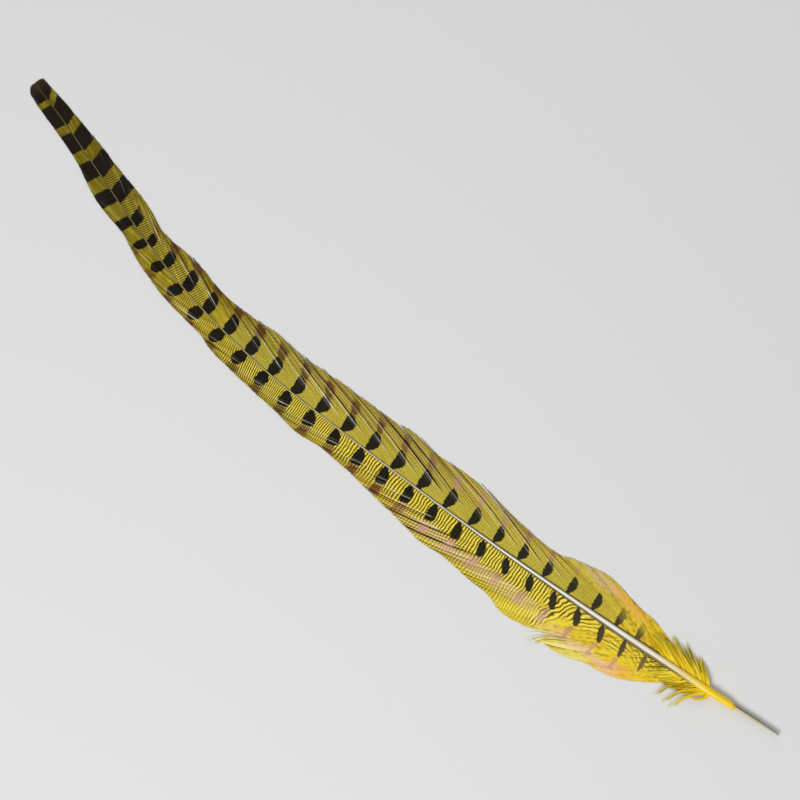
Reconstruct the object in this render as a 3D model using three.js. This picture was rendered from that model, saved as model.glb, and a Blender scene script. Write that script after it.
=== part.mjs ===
// Tail feather of a cock ring-necked pheasant, lying on a flat surface with its upper side up.
// Millimetres, +Z up. The quill's end is at -X, the feather's tip at +X and its left vane towards +Y.
// A place on the feather is given by its distance along the shaft from the quill's end and its distance
// across, from the middle of the shaft.
import * as THREE from "three";

// ---- Driving dimensions ----

// The shaft seen from above: distance along the straight line from end to end, and bow to the left of it.
const shaftRoute = [
  [0, 0],
  [60, 9.2],
  [130, 18],
  [200, 25],
  [260, 29.4],
  [310, 31.9],
  [360, 29.3],
  [400, 22.6],
  [440, 12.6],
  [470, 4.9],
  [494, 0],
];
const quillEnd = { x: -247.7, y: -20.4 }; // puts the origin under the middle of the feather

// Widths along the shaft: [distance from the quill's end, width].
const shaftWidths = [
  [0, 0.9],
  [12, 1.6],
  [27, 2.3],
  [29, 3.5],
  [36, 4.2],
  [52, 4.6],
  [75, 4.3],
  [100, 3.5],
  [125, 2.7],
  [150, 2.1],
  [200, 1.4],
  [250, 1.2],
  [350, 1],
  [499, 0.7],
];
const leftVaneWidths = [
  [62, 3.4],
  [70, 11.8],
  [75, 14.6],
  [80, 18.2],
  [85, 20.7],
  [92, 22],
  [101, 22.8],
  [109, 25.2],
  [118, 26.4],
  [126, 26.6],
  [130, 28.8],
  [133, 24.4],
  [142, 25.6],
  [151, 25.2],
  [160, 22.2],
  [172, 21.6],
  [189, 19.6],
  [202, 20.4],
  [215, 18.4],
  [240, 15.2],
  [270, 12.8],
  [284, 14.1],
  [300, 12.4],
  [325, 11.8],
  [341, 11.4],
  [352, 9.7],
  [375, 10.5],
  [398, 9.3],
  [414, 7.2],
  [434, 8.8],
  [457, 6.2],
  [480, 6.1],
  [494, 5.4],
  [500, 3.8],
];
const rightVaneWidths = [
  [68, 3.4],
  [82, 14.2],
  [93, 15.8],
  [104, 18.2],
  [117, 20],
  [131, 17.6],
  [145, 14.4],
  [158, 15],
  [178, 17.2],
  [198, 20.8],
  [222, 20],
  [245, 22],
  [247, 18.6],
  [260, 20],
  [285, 18.6],
  [301, 17.2],
  [324, 17],
  [334, 15.6],
  [353, 13.4],
  [383, 12.8],
  [403, 9.4],
  [417, 11],
  [440, 9.4],
  [467, 7.5],
  [484, 6],
  [500, 4.6],
];

// Downy barbs: [root along the shaft, tip along the shaft, tip across].
const leftDownBarbs = [
  [41, 44, 5],
  [43, 50, 14],
  [47, 54, 18.6],
  [51.5, 59, 18.8],
  [56.5, 64.5, 16.6],
  [61.3, 69.2, 10.8],
];
const rightDownBarbs = [
  [43, 46, 5],
  [46, 52, 10.4],
  [51, 60, 12.8],
  [57, 68, 13.8],
  [62, 74, 13.8],
  [67.2, 79.8, 13.2],
];

const shaftDepthRatio = 1.1; // height of the shaft's section over its width
const sheathStart = 36; // the bare point below this is level with the middle of the quill here
const archHeight = 3.5; // how far the middle of the shaft lifts off the surface
const archStart = 75; // the quill lies flat up to here
const gap = 0.3; // between a vane and the shaft, and between a vane and its down
const vaneSeat = 0.62; // height at which the vanes leave the shaft, as a share of its depth
const vaneThickness = { root: 0.8, edge: 0.5 };
const vaneDroop = 1.6; // power of the vanes' fall from the shaft to the surface
const downThickness = { root: 1.8, edge: 0.6 };

const shaftSides = 8;
const shaftStep = 8; // spacing of the shaft's sections
const vaneStep = 4; // spacing of the vanes' sections
const vaneStrips = 5; // strips across a vane
const downRows = 12;
const downStrips = 4;

// ---- Shared geometry ----

const route = new THREE.SplineCurve(
  shaftRoute.map(([along, bow]) => new THREE.Vector2(quillEnd.x + along, quillEnd.y + bow)),
);
route.arcLengthDivisions = 2000;
const routeLength = route.getLength();

// A smooth line through points [distance, value], flat beyond its ends.
function through(points) {
  const slope = points.map((_, i) => {
    const [x0, y0] = points[Math.max(i - 1, 0)];
    const [x1, y1] = points[Math.min(i + 1, points.length - 1)];
    return (y1 - y0) / (x1 - x0);
  });
  return (x) => {
    const i = points.findIndex(([at]) => at > x);
    if (i === 0) return points[0][1];
    if (i < 0) return points.at(-1)[1];
    const [x0, y0] = points[i - 1];
    const [x1, y1] = points[i];
    const t = (x - x0) / (x1 - x0);
    const bend0 = slope[i - 1] * (x1 - x0);
    const bend1 = slope[i] * (x1 - x0);
    const rise = t * t * (3 - 2 * t);
    return y0 + (y1 - y0) * rise + t * (1 - t) ** 2 * bend0 - t * t * (1 - t) * bend1;
  };
}

// The point at a distance along the shaft, a distance to its left and a height.
function place(along, across, height) {
  const share = THREE.MathUtils.clamp(along / routeLength, 0, 1);
  const middle = route.getPointAt(share);
  const ahead = route.getTangentAt(share);
  const past = along - share * routeLength;
  return new THREE.Vector3(
    middle.x + ahead.x * past - ahead.y * across,
    middle.y + ahead.y * past + ahead.x * across,
    height,
  );
}

const shaftWidth = through(shaftWidths);
const shaftDepth = (along) => shaftWidth(Math.max(along, sheathStart)) * shaftDepthRatio;

// Lift of the shaft's underside: none under the quill, most at mid-length, none at the tip.
function lift(along) {
  const share = THREE.MathUtils.clamp((along - archStart) / (routeLength - archStart), 0, 1);
  return archHeight * Math.sin(Math.PI * share) ** 2;
}

// A closed mesh from rings of points that all have the same number of corners, capped at both ends.
function closedMesh(rings) {
  const corners = rings[0].length;
  const indices = [];
  for (let i = 0; i + 1 < rings.length; i++) {
    for (let j = 0; j < corners; j++) {
      const a = i * corners + j;
      const b = i * corners + ((j + 1) % corners);
      indices.push(a, b, b + corners, a, b + corners, a + corners);
    }
  }
  // A ring goes out along one face and back along the other, so its cap is a strip between the two.
  const last = (rings.length - 1) * corners;
  const cap = (start, turned) => {
    for (let j = 0; j + 1 < corners / 2; j++) {
      const [a, b] = [start + j, start + j + 1];
      const [c, d] = [start + corners - 2 - j, start + corners - 1 - j];
      indices.push(...(turned ? [a, b, c, a, c, d] : [a, c, b, a, d, c]));
    }
  };
  cap(0, false);
  cap(last, true);
  const geometry = new THREE.BufferGeometry().setFromPoints(rings.flat());
  geometry.setIndex(indices);
  geometry.computeVertexNormals();
  return geometry;
}

// ---- Shaft: quill and rachis in one, an eight-sided rod that tapers from the quill to the tip ----

function shaftGeometry() {
  const stops = shaftWidths.map(([along]) => along);
  const end = stops.at(-1);
  for (let along = shaftStep; along < end; along += shaftStep) {
    if (stops.every((stop) => Math.abs(stop - along) > shaftStep / 3)) stops.push(along);
  }
  stops.sort((a, b) => a - b);
  const rings = stops.map((along) => {
    const halfWidth = shaftWidth(along) / 2;
    const halfDepth = halfWidth * shaftDepthRatio;
    const middle = lift(along) + shaftDepth(along) / 2;
    return Array.from({ length: shaftSides }, (_, k) => {
      const angle = ((k + 0.5) * 2 * Math.PI) / shaftSides;
      const flatTo = 1 / Math.cos(Math.PI / shaftSides); // the flats, not the corners, are at the width
      return place(
        along,
        flatTo * halfWidth * Math.cos(angle),
        middle + flatTo * halfDepth * Math.sin(angle),
      );
    });
  });
  return closedMesh(rings);
}

// ---- Vanes: thin sheets that leave the shaft's sides and fall to the surface at their edges ----

// Heights of a sheet's two faces at a share of its width, from the shaft (0) to its edge (1).
function sheetHeights(along, share, thickness) {
  const thick = THREE.MathUtils.lerp(thickness.root, thickness.edge, share);
  const root = Math.max(lift(along) + vaneSeat * shaftDepth(along), thickness.root / 2);
  const under = Math.max((root - thickness.root / 2) * (1 - share ** vaneDroop), 0);
  return { over: under + thick, under };
}

// A section of a sheet: out along its underside and back along its upper side, or the other way round
// on the right, so that its faces point outwards on both sides of the shaft.
function sheetRing(points, thickness) {
  const under = points.map(({ along, across, share }) =>
    place(along, across, sheetHeights(along, share, thickness).under),
  );
  const over = points.map(({ along, across, share }) =>
    place(along, across, sheetHeights(along, share, thickness).over),
  );
  return points.at(-1).across > 0 ? [...under, ...over.reverse()] : [...over, ...under.reverse()];
}

function vaneGeometry(widths, side) {
  const width = through(widths);
  const start = widths[0][0];
  const lowestTip = widths[1][0]; // the lowest barbs run from the start to here
  const length = widths.at(-1)[0] - start;
  const count = Math.round(length / vaneStep);
  const rings = Array.from({ length: count + 1 }, (_, i) => {
    const lean = (lowestTip - start) * (1 - i / count) ** 8;
    return sheetRing(
      Array.from({ length: vaneStrips + 1 }, (_, j) => {
        const share = j / vaneStrips;
        const along = start + (length * i) / count + lean * share;
        const inner = shaftWidth(Math.min(along, shaftWidths.at(-1)[0])) / 2 + gap;
        const outer = Math.max(width(start + (length * i) / count + lean), inner + 1);
        return { along, across: side * THREE.MathUtils.lerp(inner, outer, share), share };
      }),
      vaneThickness,
    );
  });
  return closedMesh(rings);
}

// ---- Down: the outer shape of the loose barbs at the foot of each vane ----

function downGeometry(barbs, side) {
  const tipAlong = through(barbs.map(([root, along]) => [root, along]));
  const tipAcross = through(barbs.map(([root, , across]) => [root, across]));
  const first = barbs[0][0];
  const length = barbs.at(-1)[0] - first;
  const rings = Array.from({ length: downRows + 1 }, (_, i) => {
    const root = first + (length * i) / downRows;
    const inner = shaftWidth(root) / 2 + gap;
    return sheetRing(
      Array.from({ length: downStrips + 1 }, (_, j) => {
        const share = j / downStrips;
        return {
          along: THREE.MathUtils.lerp(root, tipAlong(root), share),
          across: side * THREE.MathUtils.lerp(inner, tipAcross(root), share),
          share,
        };
      }),
      downThickness,
    );
  });
  return closedMesh(rings);
}

// ---- Materials and assembly ----

const hornMaterial = new THREE.MeshStandardMaterial({ color: 0xd9c27a, roughness: 0.3, metalness: 0 });
const vaneMaterial = new THREE.MeshStandardMaterial({ color: 0xb8a42c, roughness: 0.65, metalness: 0 });
const downMaterial = new THREE.MeshStandardMaterial({ color: 0xdcc21f, roughness: 0.9, metalness: 0 });

function piece(name, geometry, material) {
  const mesh = new THREE.Mesh(geometry, material);
  mesh.name = name;
  return mesh;
}

const feather = new THREE.Group();
feather.add(
  piece("shaft", shaftGeometry(), hornMaterial),
  piece("vane_left", vaneGeometry(leftVaneWidths, 1), vaneMaterial),
  piece("vane_right", vaneGeometry(rightVaneWidths, -1), vaneMaterial),
  piece("down_left", downGeometry(leftDownBarbs, 1), downMaterial),
  piece("down_right", downGeometry(rightDownBarbs, -1), downMaterial),
);

export default feather;
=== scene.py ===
import math
from functools import partialmethod

import bpy
import numpy as np
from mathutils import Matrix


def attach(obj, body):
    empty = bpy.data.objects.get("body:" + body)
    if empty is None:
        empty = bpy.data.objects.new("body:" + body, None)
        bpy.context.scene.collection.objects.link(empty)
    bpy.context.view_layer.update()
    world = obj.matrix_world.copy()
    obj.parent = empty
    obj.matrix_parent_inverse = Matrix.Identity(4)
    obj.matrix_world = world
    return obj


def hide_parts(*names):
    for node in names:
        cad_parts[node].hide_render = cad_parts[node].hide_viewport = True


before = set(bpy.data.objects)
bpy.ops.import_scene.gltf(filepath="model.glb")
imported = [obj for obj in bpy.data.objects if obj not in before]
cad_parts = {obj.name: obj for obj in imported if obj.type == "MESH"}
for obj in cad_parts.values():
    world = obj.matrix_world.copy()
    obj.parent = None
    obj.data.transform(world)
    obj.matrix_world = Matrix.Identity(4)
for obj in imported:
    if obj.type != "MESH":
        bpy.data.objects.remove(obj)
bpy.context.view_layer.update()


# ----------------------------------------------------------------------
# Shaft. The quill and the rachis are one rod of horn. Its lowest part is a bare, pointed tube
# that comes out of a dyed sheath, and above the quill it thins evenly up to the tip.

MM = 0.001  # every size below is in millimetres, and meshes are in metres

# The shaft seen from above: distance along the line between its ends, and bow to the left.
shaft_route = [
    (0, 0), (60, 9.2), (130, 18), (200, 25), (260, 29.4), (310, 31.9),
    (360, 29.3), (400, 22.6), (440, 12.6), (470, 4.9), (494, 0),
]
quill_end = (-247.7, -20.4)
tip_end = 500  # the feather's length along its shaft
past_tip = 10  # barbs are worked out as if the shaft went on this far

# Width along the shaft, from the quill's end.
shaft_widths = [
    (0, 0.7), (1.5, 1.2), (12, 1.7), (26.6, 2.4), (27.6, 3.4), (36, 4.1), (52, 4.5), (75, 4.2),
    (100, 3.4), (125, 2.6), (150, 2.1), (200, 1.4), (250, 1.1), (350, 0.8), (499, 0.5),
]
sheath_start = 36  # from here down the quill keeps one depth
depth_ratio = 1.1
arch_height = 3.5
arch_start = 75


def through(points, x):
    """A smooth line through points (distance, value), flat beyond its ends."""
    at, value = np.array(points, float).T
    before = np.clip(np.arange(len(at)) - 1, 0, None)
    after = np.clip(np.arange(len(at)) + 1, None, len(at) - 1)
    slope = (value[after] - value[before]) / (at[after] - at[before])
    x = np.clip(x, at[0], at[-1])
    i = np.clip(np.searchsorted(at, x, side="right") - 1, 0, len(at) - 2)
    span = at[i + 1] - at[i]
    t = (x - at[i]) / span
    return (
        value[i]
        + (value[i + 1] - value[i]) * t * t * (3 - 2 * t)
        + t * (1 - t) ** 2 * slope[i] * span
        - t * t * (1 - t) * slope[i + 1] * span
    )


def spline(points, steps):
    """Points along the even Catmull-Rom spline through the given ones."""
    held = [points[0], *points, points[-1]]
    made = []
    for a, b, c, d in zip(held, held[1:], held[2:], held[3:]):
        a, b, c, d = map(np.array, (a, b, c, d))
        for t in np.linspace(0, 1, steps, endpoint=False):
            made.append(
                b + t * (c - a) / 2
                + t * t * (a - 2.5 * b + 2 * c - d / 2)
                + t**3 * (1.5 * (b - c) + (d - a) / 2)
            )
    return np.array([*made, held[-1]])


route = spline([(quill_end[0] + x, quill_end[1] + y) for x, y in shaft_route], 60)
steps = np.linalg.norm(np.diff(route, axis=0), axis=1)
route_at = np.concatenate([[0], np.cumsum(steps)])
route_at *= tip_end / route_at[-1]
heading = np.gradient(route, route_at, axis=0)
heading /= np.linalg.norm(heading, axis=1)[:, None]


def on_route(along):
    """Places on the shaft's middle line, seen from above, and its direction there."""
    held = np.clip(along, 0, tip_end)
    middle = np.stack([np.interp(held, route_at, c) for c in route.T], -1)
    ahead = np.stack([np.interp(held, route_at, c) for c in heading.T], -1)
    return middle + ahead * (along - held)[..., None], ahead


def lift(along):
    share = np.clip((along - arch_start) / (tip_end - arch_start), 0, 1)
    return arch_height * np.sin(np.pi * share) ** 2


def shaft_depth(along):
    return depth_ratio * through(shaft_widths, np.maximum(along, sheath_start))


def new_object(name, data):
    made = bpy.data.objects.new(name, data)
    bpy.context.scene.collection.objects.link(made)
    return made


def mesh_object(name, corners, faces, attributes=()):
    """A new object of corners in millimetres, with vector attributes on its corners."""
    mesh = bpy.data.meshes.new(name)
    mesh.from_pydata((corners * MM).tolist(), [], faces)
    for title, values in attributes:
        made = mesh.attributes.new(title, "FLOAT_VECTOR", "POINT")
        made.data.foreach_set("vector", np.asarray(values, np.float32).ravel())
    return new_object(name, mesh)


shaft_sides = 24
shaft_step = 1.5
boxy = 0.86  # less than 1 makes the round section fuller at its corners
groove_depth = 0.16  # of the underside's groove, as a share of the shaft's half depth
groove_angle = 0.35  # half of the groove's width, as an angle round the section
groove_start = 80
sheath_end = 27.5  # where the bare end comes out of the sheath
sheath_slant = 1.4


def shaft_mesh():
    stops = np.unique(np.concatenate([
        np.arange(0, 30, 0.5), np.arange(30, tip_end - 1, shaft_step), [tip_end - 1],
    ]))
    middle, ahead = on_route(stops)
    left = np.stack([-ahead[:, 1], ahead[:, 0]], -1)
    angle = np.arange(shaft_sides) * 2 * np.pi / shaft_sides
    # A rounded, slightly boxy section, grooved along its underside above the quill.
    across = np.sign(np.cos(angle)) * np.abs(np.cos(angle)) ** boxy
    up = np.sign(np.sin(angle)) * np.abs(np.sin(angle)) ** boxy
    groove = np.exp(-((angle - 1.5 * np.pi) / groove_angle) ** 2)
    width = through(shaft_widths, stops)
    bare = width / through(shaft_widths, np.maximum(stops, sheath_start))
    half_depth = shaft_depth(stops) / 2
    grooved = groove_depth * np.clip((stops - groove_start) / 40, 0, 1)
    # The sheath's end is cut aslant: lower on the left side than on the right.
    slant = np.exp(-((stops - sheath_end) / 4) ** 2)[:, None] * np.cos(angle) * -sheath_slant
    corners, marks = [], []
    for i, along in enumerate(stops):
        side = across * width[i] / 2
        height = (up + groove * grooved[i]) * half_depth[i] * min(bare[i], 1)
        spot = middle[i] + side[:, None] * left[i] + slant[i][:, None] * ahead[i]
        high = lift(along) + half_depth[i] + height
        corners.append(np.column_stack([spot, high]))
        marks.append(np.column_stack([
            np.full(shaft_sides, along), across, np.broadcast_to(up, across.shape),
        ]))
    faces = []
    for i in range(len(stops) - 1):
        for j in range(shaft_sides):
            a, b = i * shaft_sides + j, i * shaft_sides + (j + 1) % shaft_sides
            faces.append((a, b, b + shaft_sides, a + shaft_sides))
    faces.append(tuple(range(shaft_sides))[::-1])
    last = (len(stops) - 1) * shaft_sides
    faces.append(tuple(range(last, last + shaft_sides)))
    shaft = mesh_object("feather_shaft", np.concatenate(corners), faces,
                        [("place", np.concatenate(marks))])
    shaft.data.shade_smooth()
    return shaft


class Wire:
    """A socket of a node tree. Arithmetic on it adds that tree's Math nodes."""

    def __init__(self, socket):
        self.socket = socket

    def node(self, kind, settings=None, sockets=None, output=None):
        """Adds a node of any kind: its settings first, then its sockets' values or links."""
        made = self.socket.id_data.nodes.new(kind)
        for name, value in (settings or {}).items():
            if name == "stops":
                ramp = made.color_ramp.elements
                while len(ramp) < len(value):
                    ramp.new(1)
                for stop, (at, colour) in zip(ramp, value):
                    stop.position = at
                    stop.color = (*colour, 1) if isinstance(colour, tuple) else (colour,) * 3 + (1,)
            else:
                setattr(made, name, value)
        for name, value in (sockets or {}).items():
            held = next(s for s in made.inputs if s.enabled and s.name == name)
            if isinstance(value, Wire):
                self.socket.id_data.links.new(value.socket, held)
            elif held.type == "RGBA":
                held.default_value = (*value, 1)
            else:
                held.default_value = value
        shown = [s for s in made.outputs if s.enabled]
        return Wire(next((s for s in shown if s.name == output), shown[0]))

    def beside(self, output):
        """Another output of the node that this socket is on."""
        return Wire(self.socket.node.outputs[output])

    def into(self, socket):
        self.socket.id_data.links.new(self.socket, socket)

    def math(self, operation, *others):
        made = self.node("ShaderNodeMath", {"operation": operation})
        for held, value in zip(made.socket.node.inputs, (self, *others)):
            if isinstance(value, Wire):
                self.socket.id_data.links.new(value.socket, held)
            else:
                held.default_value = value
        return made

    __add__ = __radd__ = partialmethod(math, "ADD")
    __sub__ = partialmethod(math, "SUBTRACT")
    __mul__ = __rmul__ = partialmethod(math, "MULTIPLY")
    __truediv__ = partialmethod(math, "DIVIDE")
    __pow__ = partialmethod(math, "POWER")
    sin = partialmethod(math, "SINE")
    cos = partialmethod(math, "COSINE")
    floor = partialmethod(math, "FLOOR")
    fraction = partialmethod(math, "FRACT")
    size = partialmethod(math, "ABSOLUTE")
    sign = partialmethod(math, "SIGN")
    least = partialmethod(math, "MINIMUM")
    most = partialmethod(math, "MAXIMUM")

    def __neg__(self):
        return self * -1

    def __rsub__(self, other):
        return -self + other

    def __rtruediv__(self, other):
        return self ** -1 * other

    def rise(self, low, high):
        """A smooth step: 0 below low, 1 above high."""
        return self.node("ShaderNodeMapRange", {"interpolation_type": "SMOOTHSTEP"},
                         {"Value": self, "From Min": low, "From Max": high})

    def fall(self, low, high):
        return 1 - self.rise(low, high)

    def hump(self, middle, half, soft):
        """1 within half of the middle, falling to 0 over soft."""
        return (self - middle).size().fall(half, half + soft)

    def line(self, stops, span):
        """A value or colour read from stops (distance, value) along a span."""
        at = self / span
        low = 0  # a ramp holds nothing below 0, so values are raised in it and lowered after it
        if not isinstance(stops[0][1], tuple):
            low = min(0, *(y for _, y in stops))
            stops = [(x, y - low) for x, y in stops]
        made = at.node("ShaderNodeValToRGB", {"stops": [(x / span, y) for x, y in stops]},
                       {"Fac": at})
        return made + low if low else made

    def dyes(self, rows, span):
        """A colour read from rows of distance, red, green and blue along a span."""
        return self.line([(row[0], dye(*row[1:])) for row in rows], span)

    def mix(self, under, over):
        """under where this is 0 and over where it is 1, as colours."""
        return self.node("ShaderNodeMix", {"data_type": "RGBA"},
                         {"Factor": self, "A": under, "B": over}, "Result")

    def parts(self):
        """The three numbers of a vector."""
        x = self.node("ShaderNodeSeparateXYZ", None, {"Vector": self}, "X")
        return x, x.beside("Y"), x.beside("Z")

    def chance(self):
        """A random number from 0 to 1 for each whole value."""
        return self.node("ShaderNodeTexWhiteNoise", {"noise_dimensions": "1D"}, {"W": self}, "Value")

    def wave(self, length):
        """A wave along this value, from -1 to 1 and back over a length."""
        return (self * (2 * math.pi / length)).sin()

    def drift(self, scale):
        """A slow random line along this value, about 0."""
        return self.node("ShaderNodeTexNoise", {"noise_dimensions": "1D"},
                         {"W": self, "Scale": scale, "Detail": 1.0}, "Fac") - 0.5


def dye(red, green, blue):
    """A colour as the eye sees it, 0 to 255, in the light values that shaders use."""
    def light(c):
        c /= 255
        return c / 12.92 if c <= 0.04045 else ((c + 0.055) / 1.055) ** 2.4
    return tuple(light(c) for c in (red, green, blue))


def new_material(name, roughness, **sockets):
    """A Principled material, its Base Color wire to start from, and the shader's sockets."""
    made = bpy.data.materials.new(name)
    made.use_nodes = True
    shader = made.node_tree.nodes["Principled BSDF"]
    shader.inputs["Roughness"].default_value = roughness
    for title, value in sockets.items():
        shader.inputs[title.replace("_", " ")].default_value = value
    return made, Wire(shader.inputs["Base Color"]), shader.inputs


def read(start, name):
    """A vector attribute of the piece."""
    return start.node("ShaderNodeAttribute", {"attribute_name": name}, None, "Vector")


def pattern(start, position, scale, detail):
    """Noise about 0 at a place in millimetres."""
    return start.node("ShaderNodeTexNoise", None,
                      {"Vector": position, "Scale": scale, "Detail": detail}, "Fac") - 0.5


def place(start, x, y, z):
    return start.node("ShaderNodeCombineXYZ", None, {"X": x, "Y": y, "Z": z}, "Vector")


def horn_material():
    made, start, sockets = new_material("horn", 0.35, Coat_Weight=0.2, Coat_Roughness=0.15)
    along, across, up = read(start, "place").parts()
    # Dyed yellow at the quill, then cream, then greyer and darker towards the tip.
    body = along.dyes([
        (0, 180, 168, 130), (26.4, 206, 190, 140), (27, 248, 204, 0), (42, 248, 212, 4),
        (54, 244, 220, 110), (72, 246, 236, 196), (100, 250, 246, 232), (160, 240, 236, 222),
        (210, 206, 198, 168), (260, 184, 170, 124), (330, 172, 158, 88), (400, 130, 116, 66),
        (500, 84, 72, 50),
    ], tip_end)
    # Painted shade: a darker copy of the shaft's colour for the side turned away from the key lamp;
    # the colour above is the lit side.
    shade = along.dyes([
        (0, 70, 67, 58), (26.4, 84, 78, 62), (27, 250, 204, 0), (46, 238, 190, 10),
        (62, 186, 150, 62), (80, 136, 114, 68), (100, 116, 106, 86), (150, 104, 96, 78),
        (250, 88, 76, 50), (500, 60, 52, 34),
    ], tip_end)
    fibres = pattern(start, place(start, along * 0.25, across * 7, up * 7), 1.0, 3.0)
    # Painted shade: it is mixed in over the shaft's right side, with its border moved rightwards
    # between about 40 and 170 mm.
    shifted = across + along.rise(38, 52) * along.fall(120, 170) * 0.3
    turned = (fibres * 0.6 - shifted).rise(-0.1, 0.75)
    colour = turned.mix(body, shade)
    # Painted shade: dark lines along both edges of the shaft, where its round sides turn from the
    # light, from above the quill and weaker towards the tip.
    edge = (shifted.rise(0.4, 0.72) + 1 - across.rise(-0.98, -0.9)).least(1)
    edge = edge * along.rise(42, 64) * (0.85 - along.rise(180, 280) * 0.5)
    colour = edge.mix(colour, dye(84, 60, 20))
    # A dry, scratched grain runs along the bare end.
    scratches = pattern(start, place(start, along * 0.5, across * 9, up * 9), 2.0, 3.0).rise(0.05, 0.2)
    bare = along.fall(26, 27)
    colour = (scratches * bare * 0.5).mix(colour, dye(226, 218, 186))
    colour.into(sockets["Base Color"])
    (0.28 + bare * 0.22 + fibres * 0.2).into(sockets["Roughness"])
    start.node("ShaderNodeBump", None, {"Height": fibres, "Strength": 0.25, "Distance": 0.0003},
               "Normal").into(sockets["Normal"])
    return made


def finish_piece(piece, node):
    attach(piece, "root")
    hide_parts(node)


feather_shaft = shaft_mesh()
feather_shaft.data.materials.append(horn_material())
finish_piece(feather_shaft, "shaft")


# ----------------------------------------------------------------------
# Left vane. Some nine hundred barbs leave the shaft's left side and lean towards the tip. Hooks
# too fine to see hold them in one sheet, which parts here and there into locks.

left_widths = [
    (62, 5), (66, 9), (70, 11.8), (75, 14.6), (80, 18.2), (85, 20.7), (92, 22), (101, 22.8),
    (109, 25.2), (118, 26.4), (124, 26), (130, 24.2), (133, 24), (142, 25.6), (151, 25.2),
    (160, 22.2), (172, 21.6), (189, 19.6), (202, 20.4), (215, 18.4), (240, 15.2), (270, 12.8),
    (284, 14.1), (300, 12.4), (325, 11.8), (341, 11.4), (352, 9.7), (375, 10.5), (398, 9.3),
    (414, 7.2), (434, 8.8), (457, 6.2), (480, 6.1), (494, 5.4), (500, 4.4),
]
# How far ahead of its root a barb ends, by its root.
left_leads = [
    (46, 12), (50, 18), (54, 26), (60, 36), (68, 42), (78, 45), (90, 54), (120, 60), (180, 62),
    (240, 54), (300, 46), (350, 42), (440, 44), (500, 40),
]
# Bars of pigment: their number along the shaft, their length as a share of the bars' spacing,
# and how far across the vane they reach.
left_bars = [
    (62, -1.2), (77, 0), (89.5, 1), (102.6, 2), (131.7, 4), (161, 6), (190.5, 8), (251.8, 12),
    (314, 16), (375.5, 20), (404, 22), (416.6, 23), (432.2, 24), (464.6, 26), (500, 28.2),
]
left_bar_lengths = [
    (62, 0.18), (90, 0.24), (118, 0.29), (150, 0.3), (190, 0.33), (235, 0.38), (300, 0.41),
    (345, 0.44), (390, 0.42), (403, 0.37), (416, 0.39), (432, 0.51), (448, 0.58), (464, 0.65),
    (480, 0.77), (500, 0.84),
]
left_bar_reaches = [
    (62, 11.5), (130, 11), (150, 10.2), (220, 10), (250, 9.8), (280, 8.9), (330, 8.5), (375, 8.2),
    (390, 7), (403, 6.8), (410, 9), (418, 16), (500, 20),
]
root_depth = 0.15  # of a barb in the shaft's side
vane_seat = 0.62  # the height at which barbs leave the shaft, as a share of its depth
edge_height = 0.3  # of the vane's outer edge above the surface


def stem(name, **profiles):
    """The shaft's middle line as a string of points, each with its numbers for the barbs."""
    along = np.arange(0, tip_end + past_tip + 1.0)
    middle, _ = on_route(along)
    mesh = bpy.data.meshes.new(name)
    count = len(along)
    mesh.from_pydata(np.column_stack([middle, np.zeros(count)]).tolist(),
                     [(i, i + 1) for i in range(count - 1)], [])
    values = {title: through(points, along) for title, points in profiles.items()}
    values["inner"] = through(shaft_widths, along) / 2 - root_depth
    values["seat"] = np.maximum(lift(along) + vane_seat * shaft_depth(along), 0.5)
    for title, value in values.items():
        made = mesh.attributes.new(title, "FLOAT", "POINT")
        made.data.foreach_set("value", value.astype(np.float32))
    return mesh


def new_tree(name, sizes):
    """A Geometry Nodes tree with named inputs, and a wire for each of them."""
    tree = bpy.data.node_groups.new(name, "GeometryNodeTree")
    tree.is_modifier = True
    for way in ("INPUT", "OUTPUT"):
        tree.interface.new_socket("Geometry", in_out=way, socket_type="NodeSocketGeometry")
    for title, value in sizes.items():
        kind = "Int" if isinstance(value, int) else "Float"
        made = tree.interface.new_socket(title, in_out="INPUT", socket_type="NodeSocket" + kind)
        made.default_value = value
    start = tree.nodes.new("NodeGroupInput")
    return tree, {s.name: Wire(s) for s in start.outputs if s.name}


def close_tree(tree, shape, material):
    """Ends a tree: instances are made real and the material is set."""
    real = shape.node("GeometryNodeRealizeInstances", None, {"Geometry": shape})
    worn = real.node("GeometryNodeSetMaterial", None, {"Geometry": real, "Material": material})
    worn.into(tree.nodes.new("NodeGroupOutput").inputs[0])


def grown(name, base, tree, sizes):
    """Runs a tree on a base mesh and returns what it makes, as a plain mesh object."""
    seed = new_object(name + "_base", base)
    modifier = seed.modifiers.new("grow", "NODES")
    modifier.node_group = tree
    for item in tree.interface.items_tree:
        if item.in_out == "INPUT" and item.name in sizes:
            modifier[item.identifier] = sizes[item.name]
    graph = bpy.context.evaluated_depsgraph_get()
    mesh = bpy.data.meshes.new_from_object(
        seed.evaluated_get(graph), preserve_all_data_layers=True, depsgraph=graph)
    bpy.data.objects.remove(seed)
    mesh.name = name
    return new_object(name, mesh)


barb_segments = 16
barb_bend = 0.68  # over a half, a barb leaves the shaft steeply and flattens outwards
barb_cover = 0.62  # half of a barb's width, as a share of the gap to the next barb
barb_margin = 0.06  # added to that half, so that neighbours touch
widest_gap = 2.4  # that a barb fills, in spacings of the barbs' roots
barb_depth = 0.11  # from a barb's middle to the top of its ridge
lowest_barb = 0.08
prism_side = 0.866  # from the middle of a three-sided prism of radius 1 to its side corners
vane_droop = 1.6
bar_spacing = 15.6
strand_spacing = 4.2  # of the finer runs of barbs in a lock, measured along the shaft


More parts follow.
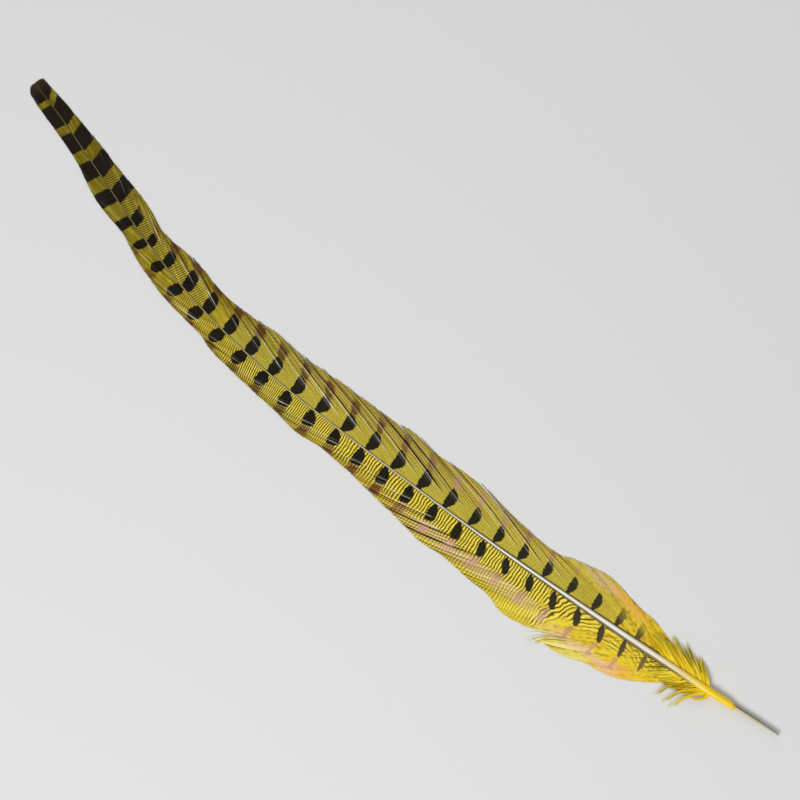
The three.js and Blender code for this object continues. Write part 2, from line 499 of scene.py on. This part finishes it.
class Stem:
    """The numbers and the middle line of the shaft, read at any distance along it."""

    def __init__(self, given):
        self.line = given["Geometry"].node("GeometryNodeMeshToCurve", None,
                                           {"Mesh": given["Geometry"]})

    def at(self, distance, title=None):
        """A number of the stem at a distance along it or, without a title, the point there."""
        sockets = {"Curves": self.line, "Length": distance}
        if title:
            sockets["Value"] = distance.node("GeometryNodeInputNamedAttribute",
                                             {"data_type": "FLOAT"}, {"Name": title}, "Attribute")
        return distance.node("GeometryNodeSampleCurve", {"mode": "LENGTH", "data_type": "FLOAT"},
                             sockets, "Value" if title else "Position")

    def put(self, shape, along, across, height):
        """Moves a shape to a distance along the shaft, a distance to its left and a height."""
        middle = self.at(along)
        ahead_x, ahead_y, _ = middle.beside("Tangent").parts()
        x, y, _ = middle.parts()
        spot = place(along, x - ahead_y * across, y + ahead_x * across, height)
        spot = spot.node("ShaderNodeVectorMath", {"operation": "SCALE"},
                         {"Vector": spot, "Scale": MM}, "Vector")
        return shape.node("GeometryNodeSetPosition", None, {"Geometry": shape, "Position": spot})


def store(shape, name, value, kind="FLOAT_VECTOR", domain="POINT"):
    return shape.node("GeometryNodeStoreNamedAttribute", {"data_type": kind, "domain": domain},
                      {"Geometry": shape, "Name": name, "Value": value})


def unrolled(shape, x, y):
    """Lays a shape out flat for baking, with a strip for each barb."""
    return store(shape, "OFBake", place(x, x, y, 0.0), "FLOAT2", "CORNER")


def copies(given, solid, count, corners):
    """Copies of a solid in one place, and for each corner its copy's number and its coordinates.
    The second one turns with the side, which keeps the faces outwards."""
    points = solid.node("GeometryNodeMeshLine", {"mode": "OFFSET"},
                        {"Count": count, "Offset": (0, 0, 0)})
    shape = points.node("GeometryNodeInstanceOnPoints", None, {"Points": points, "Instance": solid})
    shape = shape.node("GeometryNodeRealizeInstances", None, {"Geometry": shape})
    number = ((solid.node("GeometryNodeInputIndex") + 0.5) / corners).floor()
    x, y, z = solid.node("GeometryNodeInputPosition").parts()
    return shape, number, x, y * -given["Side"], z


def strands(given, segments):
    """Straight three-sided prisms, one for each barb, from 0 at its root to 1 at its tip."""
    prism = given["Geometry"].node(
        "GeometryNodeMeshCylinder", {"fill_type": "NGON"},
        {"Vertices": 3, "Side Segments": segments, "Radius": 1.0, "Depth": 1.0}, "Mesh")
    shape, number, up, across, z = copies(given, prism, given["Barbs"], 3 * (segments + 1))
    return shape, number, up, across, z + 0.5


def barb_tree():
    tree, given = new_tree("hooked barbs", {
        "Barbs": 900, "Side": 1.0, "First root": 60.0, "Last root": 499.0, "Lock shift": 0.0,
        "Clump": 0.1, "Splay": 1.0, "Tip rounding": 1.5, "Seed": 1.0,
    })
    shaft = Stem(given)
    shape, number, up, across, reach = strands(given, barb_segments)
    pitch = (given["Last root"] - given["First root"]) / given["Barbs"]
    random = (number + given["Seed"] * 1000).chance()
    root = given["First root"] + (number + random * 0.6) * pitch

    # Locks are runs of barbs that part from their neighbours, one to a bar, and strands the finer
    # runs in them.
    lock_place = shaft.at(root, "bar") + given["Lock shift"]
    lock_place = lock_place + (root + given["Seed"] * 77).drift(0.08) * 0.5
    lock = lock_place.floor()
    in_lock = lock_place.fraction() - 0.5
    lock_random = (lock + given["Seed"] * 131).chance()
    strand_place = root / strand_spacing + (root + given["Seed"] * 31).drift(0.2) * 1.2
    strand_random = (strand_place.floor() + given["Seed"] * 517).chance()
    in_strand = strand_place.fraction() - 0.5

    lead = shaft.at(root, "lead")
    full_width = shaft.at((root + lead).least(tip_end), "width")
    inner = shaft.at(root, "inner")
    cut = ((tip_end - root) / lead).least(1)
    end = tip_end - 0.2 - random * 0.5 - cut ** 3 * given["Tip rounding"]
    reach = reach * ((end - root) / lead).least(1)
    fray = shaft.at(root, "fray")
    curve = reach * (2 * barb_bend + reach * (1 - 2 * barb_bend))
    parted = reach ** 2
    along = (
        root + lead * reach
        - in_lock * bar_spacing * given["Clump"] * fray * parted
        - in_strand * strand_spacing * 0.3 * fray * parted * reach
    )
    splay = (lock_random - 0.35) * given["Splay"] * fray * parted
    stray = shaft.at(root, "stray") * (0.6 + (root * 1.6).floor().chance() * 0.55) * reach ** 6
    along = along - stray * 0.75
    splay = splay + stray
    out = inner + (full_width - inner) * curve + splay
    out = out + ((random - 0.5) * 0.2 + (strand_random - 0.5) * 0.5 * fray) * parted

    # Direction of the barb in the plane of the vane, for its cross-section.
    steep = (full_width - inner) * (2 * barb_bend + reach * (2 - 4 * barb_bend)) / lead
    length = (steep * steep + 1) ** 0.5
    taper = 1 - reach ** 12 * 0.6
    next_lead = shaft.at(root + 1, "lead")
    next_width = shaft.at((root + 1 + next_lead).least(tip_end), "width")
    gap = steep * (1 + (next_lead - lead) * reach) - (next_width - full_width) * curve
    half = (pitch * gap.size().least(widest_gap) / length * barb_cover + barb_margin) * taper
    aside = across * half / prism_side
    along = along - aside * steep / length
    out = out + aside / length

    here = along.least(tip_end)
    share = (out / shaft.at(here, "width")).most(0).least(1)
    height = edge_height + (shaft.at(here, "seat") - edge_height) * (1 - share ** vane_droop)
    raised = (lock_random - 0.5) * fray * 0.6 - in_lock * fray * 0.5
    height = height + (raised + (strand_random - 0.5) * 0.3) * reach
    height = (height + up * barb_depth * taper).most(lowest_barb)

    shape = store(shape, "place", place(along, along, out, root))
    shape = store(shape, "barb", place(along, random, strand_random, reach))
    shape = store(shape, "lock", place(along, lock_random, in_lock, in_strand))
    bar = [shaft.at(here, title) for title in ("bar", "bar_length", "bar_reach")]
    shape = store(shape, "bars", place(along, *bar))
    shape = unrolled(shape, reach, (number + 0.5 + across * 0.3) / given["Barbs"])
    return tree, shaft.put(shape, along, out * given["Side"], height)


barbs_tree, barbs_shape = barb_tree()

# Edges of a bar, as shares of its length ahead of its middle, by the share of its reach.
left_front = [(0, 0.4), (0.3, 0.52), (0.8, 0.46), (1, 0.26)]
left_back = [(0, 0.1), (0.12, -0.04), (0.36, -0.38), (0.7, -0.54), (0.88, -0.5), (1, -0.34)]
left_round = [(0, 0.26), (0.15, 0.42), (0.45, 0.52), (0.7, 0.46), (0.88, 0.3), (1, 0.06)]


class VanePoint:
    """What holds at a point of a vane: its place, along the shaft and out from it, its barb, lock
    and bar, and uneven tones."""

    def __init__(self, start, side):
        self.left = side > 0
        self.along, self.out, self.root = read(start, "place").parts()
        self.random, self.strand_random, self.reach = read(start, "barb").parts()
        self.lock_random, self.in_lock, self.in_strand = read(start, "lock").parts()
        self.bar, self.bar_length, self.bar_reach = read(start, "bars").parts()
        along, out = self.along, self.out
        self.wander = pattern(start, place(start, along * 0.09, out * 0.12, side * 3.0), 1.0, 2.0)
        self.spots = pattern(start, place(start, along * 0.22, out * 0.3, side * 5.0), 1.0, 3.0)
        slanted = place(start, along * 0.42, out * 0.85 - along * 0.3, side * 7.0)
        self.bumps = pattern(start, slanted, 1.0, 3.0)
        self.fine = ((self.root / 1.5 + self.random * 0.3).floor() + side * 300).chance()


def ground_colour(at):
    """Yellow that changes from barb to barb, with orange, pink and pale bands near the edge."""
    along, out, wander, fine = at.along, at.out, at.wander, at.fine
    colour = along.dyes([
        (60, 232, 194, 14), (90, 238, 206, 44), (150, 234, 208, 56), (240, 218, 190, 40),
        (330, 192, 168, 30), (365, 168, 146, 28), (400, 150, 132, 28), (440, 142, 128, 26),
        (500, 140, 124, 26),
    ], tip_end)
    tone = (at.strand_random - 0.5) * 0.5 + (fine - 0.5) * 0.45 + at.spots * 0.8
    tone = tone + at.bumps * 2.2 * along.fall(118, 150)
    if at.left:
        tone = tone + along.fall(270, 340) * 0.14
    else:
        hooked = along.fall(315, 360) * out.fall(8, 12)
        tone = tone + along.rise(96, 140) * hooked * 0.46
    colour = (tone.most(0) * 0.9).mix(colour, dye(254, 234, 78))
    colour = ((-tone).most(0) * 1.1).mix(colour, dye(112, 84, 16))
    if at.left:
        # A flush of orange along the edge, then a band of pink with pale yellow outside it.
        band = out + wander * 7 - along.rise(74, 98) * 4
        flush = band.rise(9.5, 14) * along.rise(74, 84) * along.fall(84, 100)
        rose = band.rise(10.7, 13.7) * (1 - band.rise(14.7, 17.7) * along.rise(90, 102))
        rose = rose * along.rise(80, 92) * along.fall(112, 134)
        wash = out.hump(14.5, 1.5, 3.5) * along.rise(128, 145) * along.fall(190, 235)
        pale = band.rise(14.5, 17.5) * along.rise(94, 104) * along.fall(124, 136)
        pale = pale * (0.1 + fine * 1.1 + at.spots * 1.6).most(0)
        colour = pale.least(1).mix(colour, dye(244, 236, 150))
    else:
        band = out + wander * 5 - (along - 87) * 0.2
        flush = band.hump(11.5, 1, 3) * along.rise(82, 92) * along.fall(108, 124)
        rose = band.hump(10.5, 1, 3) * along.rise(100, 118) * along.fall(134, 146)
        fringe = out.rise(9, 14) * along.rise(125, 150) * along.fall(290, 350)
        wash = rose * 0.4 + fringe * 0.24
    uneven = (0.4 + fine * 0.5 + at.bumps).most(0)
    colour = (flush * uneven).mix(colour, dye(246, 184, 92))
    colour = (rose * uneven).mix(colour, dye(244, 206, 174))
    return (wash * (0.25 + fine * 0.6)).mix(colour, dye(238, 208, 176))


def ripples(at):
    """Relief of the ripples across the barbs, where the hooks pull them together, about 0."""
    along, out, wander, spots = at.along, at.out, at.wander, at.spots
    if at.left:
        # Broad ones follow the shaft near the vane's foot and turn outwards further up; beyond
        # them close ones stand across the vane.
        held = along.most(80).least(150)
        lie = (held - 80) * 0.0282 - 0.35
        swung = (along - held) * lie.sin() - (out + 35.5) * lie.cos() + wander * 8
        depth = 0.5 + along.rise(100, 120) * 0.45 + spots * 1.6
        broad = swung.wave(2.3) * depth * along.rise(62, 76)
        leaning = out * 0.45 * along.rise(298, 318) + (along - 265).most(0) * 0.42
        close = (along + wander * 3.6 + leaning).wave(1.62) * (1.0 + spots)
        upper = along.rise(130, 140)
        wide = 9.5 + 15 * along.rise(120, 136) * (1 - along.rise(196, 236) * 0.6)
        strength = out.fall(wide - 3, wide + 3) * (1 - out.rise(9.5, 12.5) * upper * 0.5)
        relief = (broad * (1 - upper) + close * upper) * strength
        relief = relief * (1 - along.rise(318, 345) * 0.5) * along.fall(365, 400)
        lines = (out + wander * 2).wave(1.0) * along.rise(408, 416)
        relief = relief + lines * along.fall(446, 452) * 0.5
    else:
        ripple = (along * 0.8 - out * 1.4 + wander * 2.0).wave(1.25)
        ripple = ripple * (along + out * 1.1).wave(1.35)
        strength = (1 - out.rise(7, 13) * 0.55) * along.rise(86, 120) * along.fall(330, 355)
        hatch = (along + out * 0.2 + wander * 2).wave(1.15)
        hatched = along.rise(350, 364) * along.fall(436, 446) * out.fall(6.5, 9.5)
        relief = ripple * strength * (2.0 + spots) + hatch * hatched * (0.7 + wander)
    creases = (at.root + wander * 2).wave(2.1) * (0.55 + spots * 2)
    return relief + creases * along.fall(66, 84) * out.fall(5, 9)


def with_painted_shade_lines(at, colour):
    """Painted shade: dark lines between strands, most of them where the outer barbs part, standing in
    for shadowed gaps, and a painted shadow beside the shaft.
    """
    along, out = at.along, at.out
    loose = out.rise(6.5, 13) if at.left else out.rise(6, 11)
    loose = loose * along.rise(130, 190) * (1 - along.rise(395, 425) * 0.7)
    loose = loose + along.fall(72, 94) * out.fall(6, 10) * 1.2
    # Painted shade in the gaps between strands.
    groove = at.in_strand.size().rise(0.3, 0.46) * (0.12 + loose * 0.85)
    groove = groove * (at.strand_random * 1.3 + 0.15).least(1)
    colour = groove.mix(colour, dye(74, 50, 12))
    # Painted shadow: a dark line on the vane along the shaft's side, fading towards the tip.
    beside = out - along.line([(x, w / 2) for x, w in shaft_widths[6:]], tip_end)
    beside = beside.fall(0.0, 0.6) * (0.85 - along.rise(130, 240) * 0.7)
    return beside.mix(colour, dye(58, 42, 18))


def bars(at):
    """How far ahead of its bar's middle a point is, as a share of the bars' spacing, how far up
    the bar, as a share of the bar's reach, and 1 inside the bar."""
    along, out, left = at.along, at.out, at.left
    whole = along.rise(400, 418)  # 1 where the bars cross the whole vane, near the tip
    # Their edges are ragged because each barb stops its pigment where it likes.
    ragged = (at.random - 0.5) * 0.02 + ((at.root / 1.9).floor().chance() - 0.5) * 0.035
    offset = (at.bar + 0.5).fraction() - 0.5 + ragged
    upright = whole if left else along.rise(290, 330) * 0.5 + whole * 0.5
    up_bar = (out - offset * (4.5 if left else 5.5) * (1 - upright)) / at.bar_reach
    front = up_bar.line(left_front if left else right_front, 1)
    back = up_bar.line(left_back if left else right_back, 1)
    slim = along.fall(165, 210) * (0.17 - up_bar.rise(0, 0.4) * 0.13)
    back = back + slim * 0.7
    front = front - slim
    if left:
        front = front - up_bar.rise(0.45, 0.9) * along.fall(160, 205) * 0.2
        rounded = along.rise(290, 330)
        edge = up_bar.line(left_round, 1)
        front = front + (edge - front) * rounded
        back = back - (edge + back) * rounded
        lean = (up_bar - 0.4) * -0.16 * along.rise(74, 108) * along.fall(150, 200)
        slant = (out - 2) * whole * 0.008
    else:
        back = back + (up_bar.line(right_round, 1) - back) * along.rise(270, 330)
        lean = 0.0
        slant = (out - 2) * whole * (0.02 + along.rise(470, 490) * 0.03)
        slant = slant + (out - 4) * along.rise(315, 370) * (1 - whole) * 0.011
    front = (front + (0.5 - front) * whole) * at.bar_length + lean
    back = (back + (-0.5 - back) * whole) * at.bar_length + lean
    offset = offset - slant
    soft = 0.015
    inside = offset.rise(back - soft, back + soft) * offset.fall(front - soft, front + soft)
    mask = inside * up_bar.fall(0.94, 1.02) * along.rise(66, 76)
    if not left:
        mask = mask * (1 - along.fall(84, 112) * up_bar.rise(0.3, 1.1))
    return offset, up_bar, mask


def with_patches(at, colour, painted_crest_highlight, offset, up_bar):
    """Reddish brown beyond each bar, out to the vane's edge."""
    along, left = at.along, at.left
    young = along.fall(112, 140)
    fades = up_bar.fall(1.45, 1.85) if left else up_bar.fall(1.35, 1.75)
    beyond = up_bar.rise(0.94, 1.12) * fades
    lean = (up_bar - 0.95) * (0.05 if left else 0.2) - (0.05 if left else -0.06)
    away = (offset - lean).size() + (at.fine - 0.5) * 0.1
    share = 0.7 if left else 0.6 + along.rise(265, 290) * 0.14
    half = at.bar_length * (1 - young * 0.25) * (share + (up_bar - 1) * 0.35)
    patch = away.fall(half * 0.35, half * 0.8) * beyond * along.fall(398, 412)
    patch = patch * (0.5 + 0.7 * at.fine + at.bumps)
    patch = patch * (along.rise(74, 88) if left else along.rise(100, 165) + along.rise(230, 290) * 0.4)
    russet = along.dyes([
        (80, 210, 148, 112), (110, 188, 124, 100), (150, 180, 124, 98), (206, 202, 156, 130),
        (222, 124, 60, 42), (300, 96, 44, 30), (400, 124, 74, 26),
    ], tip_end)
    if left:
        paler = up_bar.rise(0.95, 1.45) * along.fall(200, 218) * 0.5
        russet = paler.mix(russet, dye(226, 190, 164))
    # Painted highlight: the patches turn paler on the ripples' crests.
    russet = (painted_crest_highlight * along.fall(215, 240) * 0.7).mix(russet, dye(234, 206, 172))
    return patch.least(0.9).mix(colour, russet)


def with_painted_lock_light(at, colour, mask):
    """A painted highlight along the raised inner edge of each lock, as a pale streak with weaker ones
    beside it, and painted shade as the dark line where the lock before it ends."""
    along, out, in_lock, lock_random = at.along, at.out, at.in_lock, at.lock_random
    swayed = in_lock + at.wander * 0.1
    # Painted highlight: pale streaks along the raised inner edge of each lock, greyer over the bars.
    first = swayed.hump(-0.4, 0.015, 0.045) * (0.9 + lock_random * 0.7)
    second = swayed.hump(-0.24, 0.005, 0.035) * lock_random * 0.7
    third = swayed.hump(-0.08, 0.005, 0.03) * (1 - lock_random) * 0.6
    starts = 11 - 6 * along.rise(186, 214) if at.left else 5.0
    outer = (out - starts).rise(-0.5, 2) * at.reach.fall(0.55, 0.9) * (0.8 + at.spots * 1.6)
    painted_lock_highlight = (first + second + third).least(1) * outer
    painted_lock_highlight = painted_lock_highlight * along.rise(118, 150) * (0.95 - along.rise(400, 430) * 0.6)
    painted_lock_highlight = painted_lock_highlight * (0.6 + along.rise(170, 205) * 0.4) if at.left else painted_lock_highlight
    colour = painted_lock_highlight.mix(colour, (mask * 0.9).mix(dye(252, 244, 184), dye(232, 228, 212)))
    # Painted shade: a dark line where the lock before ends.
    painted_seam_shade = in_lock.size().rise(0.4, 0.46) * (0.3 + in_lock.rise(-0.1, 0.1)) * out.rise(5, 9)
    shown = along.rise(175, 200) if at.left else along.rise(118, 150)
    return (painted_seam_shade * shown * along.fall(400, 430) * 0.85).mix(colour, dye(44, 28, 8))


def vane_colour(start, side):
    """The pattern of a vane, with painted light and shade on its ripples and locks, and the relief of
    its ripples.
    """
    at = VanePoint(start, side)
    relief = ripples(at)
    # Painted highlight on the ripples' crests, weaker towards the tip, then painted shade in their
    # hollows.
    painted_crest_highlight = relief.rise(0.0, 1.0) * (1 - at.along.rise(330, 420) * 0.6)
    colour = painted_crest_highlight.mix(ground_colour(at), dye(255, 242, 108))
    colour = ((-relief).rise(-0.05, 0.95) * 0.95).mix(colour, dye(90, 58, 4))
    colour = with_painted_shade_lines(at, colour)
    offset, up_bar, mask = bars(at)
    colour = with_patches(at, colour, painted_crest_highlight, offset, up_bar)
    pigment = at.along.dyes([
        (60, 160, 138, 74), (78, 120, 104, 60), (90, 82, 72, 46), (110, 60, 54, 40),
        (150, 36, 33, 27), (220, 22, 20, 15), (400, 17, 14, 10), (440, 34, 26, 20),
        (493, 44, 35, 27), (500, 84, 66, 48),
    ], tip_end)
    colour = (mask * 0.98).mix(colour, pigment)
    return with_painted_lock_light(at, colour, mask), relief


def vane_material(name, side):
    made, start, sockets = new_material(name, 0.6, Specular_IOR_Level=0.25)
    colour, relief = vane_colour(start, side)
    colour.into(sockets["Base Color"])
    start.node("ShaderNodeBump", None, {"Height": relief, "Strength": 0.5, "Distance": 0.0002},
               "Normal").into(sockets["Normal"])
    return made


def vane(name, side, profiles, material, sizes):
    tree = barbs_tree.copy()
    shape = Wire(tree.nodes[barbs_shape.socket.node.name].outputs[0])
    close_tree(tree, shape, material)
    return grown(name, stem(name, **profiles), tree, {"Side": float(side), **sizes})


left_frays = [(60, 0.2), (120, 0.3), (180, 0.45), (300, 0.45), (400, 0.3), (500, 0.25)]
# Extra swing of the barbs' tips away from the shaft: one tuft has come loose and curls outwards.
left_strays = [(79, 0), (80, 1.5), (82, 5), (85, 7), (86, 1), (87, -0.6), (89, 0)]
left_vane = vane(
    "feather_vane_left", 1,
    {"width": left_widths, "lead": left_leads, "fray": left_frays, "bar": left_bars,
     "bar_length": left_bar_lengths, "bar_reach": left_bar_reaches, "stray": left_strays},
    vane_material("left vane", 1),
    {"Barbs": 930, "First root": 46.0, "Last root": 499.0, "Seed": 1.0, "Lock shift": 0.62,
     "Clump": 0.07, "Tip rounding": 2.4},
)
finish_piece(left_vane, "vane_left")


# ----------------------------------------------------------------------
# Right vane. It grows like the left one, but wider in the middle of the feather, where its outer
# barbs have lost their hooks and hang apart as a stepped fringe.

right_widths = [
    (66, 5), (72, 9.5), (82, 14.2), (93, 15.8), (104, 18.2), (117, 20), (131, 17.6), (145, 14.4),
    (158, 15), (178, 17.2), (198, 20.8), (222, 20), (240, 21), (246, 20), (260, 19.6), (285, 18.6),
    (301, 17.2), (324, 17), (334, 15.6), (353, 13.4), (383, 12.8), (403, 9.4), (417, 11),
    (440, 9.4), (467, 7.5), (484, 6), (500, 4.6),
]
right_leads = [
    (52, 14), (56, 24), (62, 35), (72, 44), (88, 51), (110, 58), (180, 66), (250, 62), (300, 54),
    (350, 46), (400, 42), (450, 42), (500, 38),
]
right_bars = [
    (62, -1.8), (86.3, 0), (98.5, 1), (112.7, 2), (142.4, 4), (172.3, 6), (202.4, 8), (234.7, 10),
    (266, 12), (297.4, 14), (328.3, 16), (343.4, 17), (358.4, 18), (373.6, 19), (389.4, 20),
    (415.2, 22), (430.8, 23), (463.9, 25), (500, 27.2),
]
right_bar_lengths = [
    (62, 0.28), (86, 0.31), (112, 0.29), (128, 0.29), (150, 0.33), (175, 0.33), (220, 0.36),
    (300, 0.41), (374, 0.44), (403, 0.42), (416, 0.43), (431, 0.54), (448, 0.61), (465, 0.62),
    (481, 0.76), (497, 0.71),
]
right_bar_reaches = [
    (62, 11), (112, 10.4), (150, 9.4), (172, 9.6), (202, 10.6), (250, 10.2), (281, 9.4),
    (330, 9.4), (350, 9.6), (374, 9.8), (389, 7.6), (401, 5.2), (414, 6), (420, 7.5), (428, 16),
    (500, 20),
]
right_front = [(0, 0.32), (0.3, 0.42), (0.8, 0.46), (1, 0.4)]
right_back = [
    (0, -0.04), (0.15, -0.18), (0.3, -0.36), (0.55, -0.6), (0.78, -0.58), (0.92, -0.36), (1, -0.1),
]
right_round = [(0, -0.38), (0.3, -0.52), (0.6, -0.54), (0.85, -0.42), (1, -0.2)]
right_frays = [
    (60, 0.3), (120, 0.8), (160, 1), (250, 0.9), (310, 0.5), (400, 0.25), (500, 0.1),
]
right_vane = vane(
    "feather_vane_right", -1,
    {"width": right_widths, "lead": right_leads, "fray": right_frays, "bar": right_bars,
     "bar_length": right_bar_lengths, "bar_reach": right_bar_reaches, "stray": [(60, 0), (500, 0)]},
    vane_material("right vane", -1),
    {"Barbs": 920, "First root": 52.0, "Last root": 499.0, "Seed": 2.0, "Lock shift": 0.56,
     "Clump": 0.1, "Splay": 1.3, "Tip rounding": 0.8},
)
finish_piece(right_vane, "vane_right")


# ----------------------------------------------------------------------
# Down. The lowest barbs of each side have no hooks: they are long, soft and curled, and each
# carries finer barbules along it that catch on its neighbours.

down_segments = 12
lock_size = 12  # barbs that cling together in one lock
strand_size = 4  # neighbours in it of one tone
barbules_each = 26
barbule_half = 0.03  # of a barbule's width
lowest_down = 0.06


def down_path(given, shaft, number, reach):
    """A downy barb as an arc in the plane of the feather, a little off the middle of its lock."""
    seed = given["Seed"] * 1000
    lock = ((number + 0.5) / lock_size).floor()
    own = [(number * 3 + seed + 0.37 * k + k * 5000).chance() for k in range(3)]
    spacing = (given["Last root"] - given["First root"]) * lock_size / given["Barbs"]
    root = given["First root"] + lock * spacing
    full_length = shaft.at(root, "length")
    length = full_length * (0.74 + own[1] * 0.26)
    in_lock = (number + own[0]) / lock_size - lock - 0.5
    apart = in_lock * 1.8 * (1 - reach * 0.85)
    loose = (15 / full_length) ** 3
    set_off = shaft.at(root, "angle") + (own[2] - 0.5) * 0.14 * loose
    bend = shaft.at(root, "bend") + (own[1] - 0.5) * 0.22 * loose
    bend = bend + bend.sign() * 0.02 + 0.005
    turned = set_off - bend * reach
    wave = (reach * 8 + own[2] * 6).sin() * reach * 0.12
    along = root + apart + length * (set_off.sin() - turned.sin()) / bend - wave * turned.sin()
    out = shaft.at(root, "inner") + length * (turned.cos() - set_off.cos()) / bend
    out = out + wave * turned.cos()
    crown = own[1] * 1.2 + (lock + seed).chance() * 0.8
    high = shaft.at(root, "seat") * (1 - reach) + 0.3 + crown * (reach * 2.6).sin()
    tone = ((number + 0.5) / strand_size + seed * 3).floor().chance() * 0.7 + own[1] * 0.3
    return along, out, high, turned, tone


def down_tree(material):
    tree, given = new_tree("down", {
        "Barbs": 200, "Barbules": 8000, "Side": 1.0, "First root": 42.0, "Last root": 62.0,
        "Barb width": 0.19, "Barbule length": 0.6, "Seed": 5.0,
    })
    shaft = Stem(given)
    shape, number, up, across, reach = strands(given, down_segments)
    along, out, high, turned, tone = down_path(given, shaft, number, reach)
    half = given["Barb width"] * (1 - reach * 0.7)
    along_edge = along - across * half * turned.sin()
    out_edge = out + across * half * turned.cos()
    shape = store(shape, "down", place(along, tone, reach, 0.0))
    shape = unrolled(shape, reach, (number + 0.5 + across * 0.3) / given["Barbs"] * 0.5)
    high = (high + up * half).most(lowest_down)
    barbs = shaft.put(shape, along_edge, out_edge * given["Side"], high)

    # Barbules: short spikes set along the barbs, alternately to both sides.
    spike = given["Geometry"].node(
        "GeometryNodeMeshCone", {"fill_type": "NGON"},
        {"Vertices": 3, "Side Segments": 1, "Radius Top": 0.0, "Radius Bottom": 1.0, "Depth": 1.0},
        "Mesh")
    shape, spike_number, up, across, tip = copies(given, spike, given["Barbules"], 4)
    per_barb = given["Barbules"] / given["Barbs"]
    parent = (spike_number / per_barb + 0.0001).floor()
    step = (spike_number - parent * per_barb + (spike_number + 0.2).chance()) / per_barb
    along, out, high, turned, tone = down_path(given, shaft, parent, step * 0.95 + 0.05)
    side = ((spike_number * 0.5).fraction() - 0.25) * 4
    aim = turned + side * (0.75 + (spike_number + 0.6).chance() * 0.4)
    length = given["Barbule length"] * (0.5 + (spike_number + 0.9).chance()) * (1.1 - step * 0.6)
    tip = tip * length
    along = along + tip * aim.cos() - across * barbule_half * aim.sin()
    out = out + tip * aim.sin() + across * barbule_half * aim.cos()
    high = high + tip * ((spike_number + 0.4).chance() - 0.4) * 0.5 + up * barbule_half
    shape = store(shape, "down", place(along, tone * 0.75, step, 0.0))
    shape = unrolled(shape, step, 0.5 + spike_number / given["Barbules"] * 0.5)
    spikes = shaft.put(shape, along, out * given["Side"], high.most(lowest_down))

    both = barbs.node("GeometryNodeJoinGeometry", None, {"Geometry": barbs})
    spikes.into(both.socket.node.inputs["Geometry"])
    close_tree(tree, both, material)
    return tree


def down_material():
    made, start, sockets = new_material("down", 0.7, Specular_IOR_Level=0.2)
    tone, reach, _ = read(start, "down").parts()
    colour = tone.dyes([
        (0, 44, 28, 0), (0.25, 78, 52, 0), (0.34, 244, 200, 0), (0.55, 255, 232, 24),
        (1, 255, 246, 120),
    ], 1)
    colour = (reach.rise(0.75, 1.0) * 0.5).mix(colour, dye(214, 204, 130))
    colour.into(sockets["Base Color"])
    return made


fluff = down_material()
fluff_tree = down_tree(fluff)


def down(name, side, locks, sizes):
    """Locks are given as root, length, angle to the shaft and bend, one to every barb lock."""
    profiles = {title: [(row[0], row[i + 1]) for row in locks]
                for i, title in enumerate(("length", "angle", "bend"))}
    spread = {"First root": float(locks[0][0]), "Last root": float(locks[-1][0] + 1)}
    count = (locks[-1][0] + 1 - locks[0][0]) * lock_size
    made = grown(name, stem(name, **profiles), fluff_tree,
                 {"Side": float(side), "Barbs": count, "Barbules": count * barbules_each,
                  **spread, **sizes})
    finish_piece(made, "down_left" if side > 0 else "down_right")


down("feather_down_left", 1, [
    (41, 14.5, 1.6, 2.5), (42, 22, 0.56, -0.8), (43, 12, 0.62, -0.1), (44, 13, 0.66, 0.1),
    (46, 13, 0.7, 0.2), (47, 22, 0.58, -0.78), (48, 13, 0.75, 0.25), (50, 14, 0.72, 0.1),
    (52, 13, 0.8, 0.3), (53, 20.5, 0.6, -0.76), (54, 13, 0.78, 0.2), (57, 14, 0.74, 0.25),
    (60, 14, 0.7, 0.2), (64, 14, 0.6, 0.1),
], {"Seed": 5.0})
down("feather_down_right", -1, [
    (43, 12, 0.8, 0.1), (45, 15, 0.74, -0.15), (47, 17, 0.66, 0.2), (49, 20, 0.6, -0.2),
    (51, 18, 0.62, 0.3), (54, 21, 0.52, -0.15), (57, 19, 0.55, 0.25), (60, 22, 0.42, -0.1),
    (63, 18, 0.48, 0.2), (66, 20, 0.38, 0.0), (70, 15, 0.34, 0.1),
], {"Seed": 8.0})


# ----------------------------------------------------------------------
# Studio. The feather lies on a plain pale floor, two large lamps light it softly, and a camera
# looks straight down on it.

floor_reach = 3000.0


def studio():
    corners = np.array([(-1, -1, 0), (1, -1, 0), (1, 1, 0), (-1, 1, 0)]) * floor_reach
    floor = mesh_object("floor", corners, [(0, 1, 2, 3)])
    paper, _, sockets = new_material("paper", 0.9)
    sockets["Base Color"].default_value = (*dye(226, 225, 222), 1)
    floor.data.materials.append(paper)

    scene = bpy.context.scene
    scene.view_settings.view_transform = "Standard"
    scene.world = bpy.data.worlds.new("studio")
    scene.world.use_nodes = True
    sky = scene.world.node_tree.nodes["Background"].inputs
    sky["Color"].default_value = (0.9, 0.95, 1, 1)
    sky["Strength"].default_value = 0.35

    def lamp(name, spot, width, power):
        light = bpy.data.lights.new(name, "AREA")
        light.shape, light.size, light.energy = "SQUARE", width, power
        made = new_object(name, light)
        made.location = spot
        made.rotation_euler = (-made.location).to_track_quat("-Z", "Y").to_euler()

    lamp("key", (-0.2, 1.0, 1.5), 0.9, 22)
    lamp("fill", (0.8, -1.2, 1.2), 1.4, 7)


# The camera sees this width of the surface and looks straight down on this spot of it.
view_width = 400
view_middle = (5, -21.6)
view_turn = math.radians(180 + 41.2)
camera_height = 2200


def camera():
    data = bpy.data.cameras.new("camera")
    data.sensor_width = 36
    data.lens = data.sensor_width * camera_height / view_width
    data.clip_end = 20
    made = new_object("camera", data)
    made.location = (view_middle[0] * MM, view_middle[1] * MM, camera_height * MM)
    made.rotation_euler = (0, 0, view_turn)
    bpy.context.scene.camera = made


studio()
camera()
